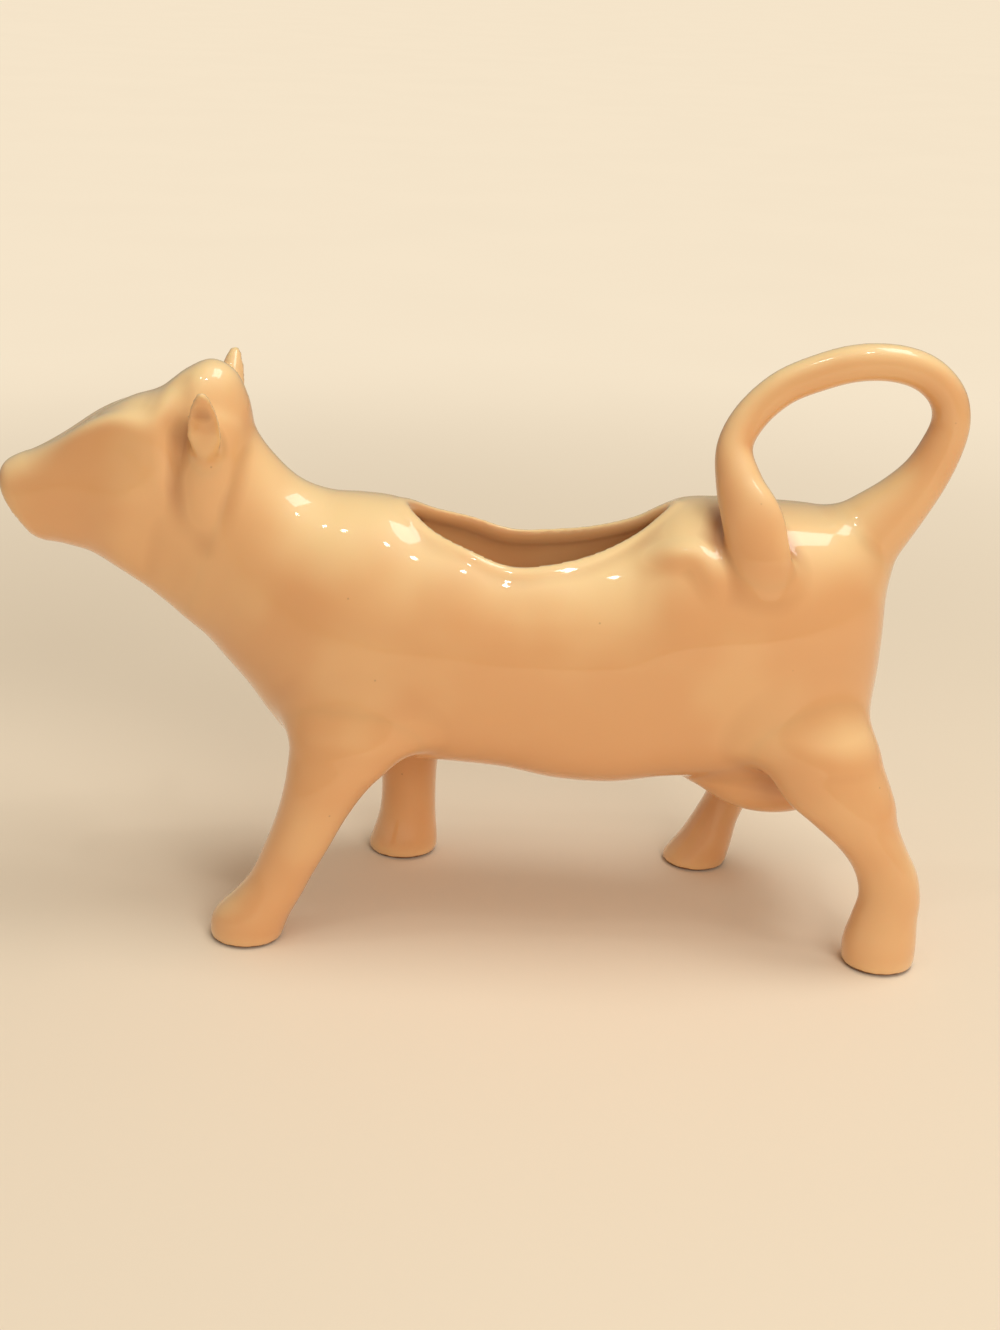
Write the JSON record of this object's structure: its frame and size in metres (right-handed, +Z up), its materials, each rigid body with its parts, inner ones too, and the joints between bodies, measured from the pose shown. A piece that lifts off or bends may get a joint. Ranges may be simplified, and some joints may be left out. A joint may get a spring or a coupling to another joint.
{
  "type": "cow creamer",
  "caption": "Glazed ceramic cream jug in the form of a walking cow: filled through the back, poured from the mouth, with the looped tail as its handle.",
  "frame": {"origin": "on the table, under the middle of the cow's bounding box", "axes": "+Z up, the cow looks along -X and its tail is at +X, its left flank faces -Y"},
  "size_m": [0.1863, 0.0556, 0.12],
  "materials": {
    "cream_glaze": "glossy clear glaze over a cream body"
  },
  "bodies": {
    "root": {"body_shell": "cream_glaze", "head": "cream_glaze", "ear_left": "cream_glaze", "ear_right": "cream_glaze", "leg_front_left": "cream_glaze", "leg_front_right": "cream_glaze", "leg_rear_left": "cream_glaze", "leg_rear_right": "cream_glaze", "udder": "cream_glaze", "tail_handle": "cream_glaze"}
  },
  "joints": []
}
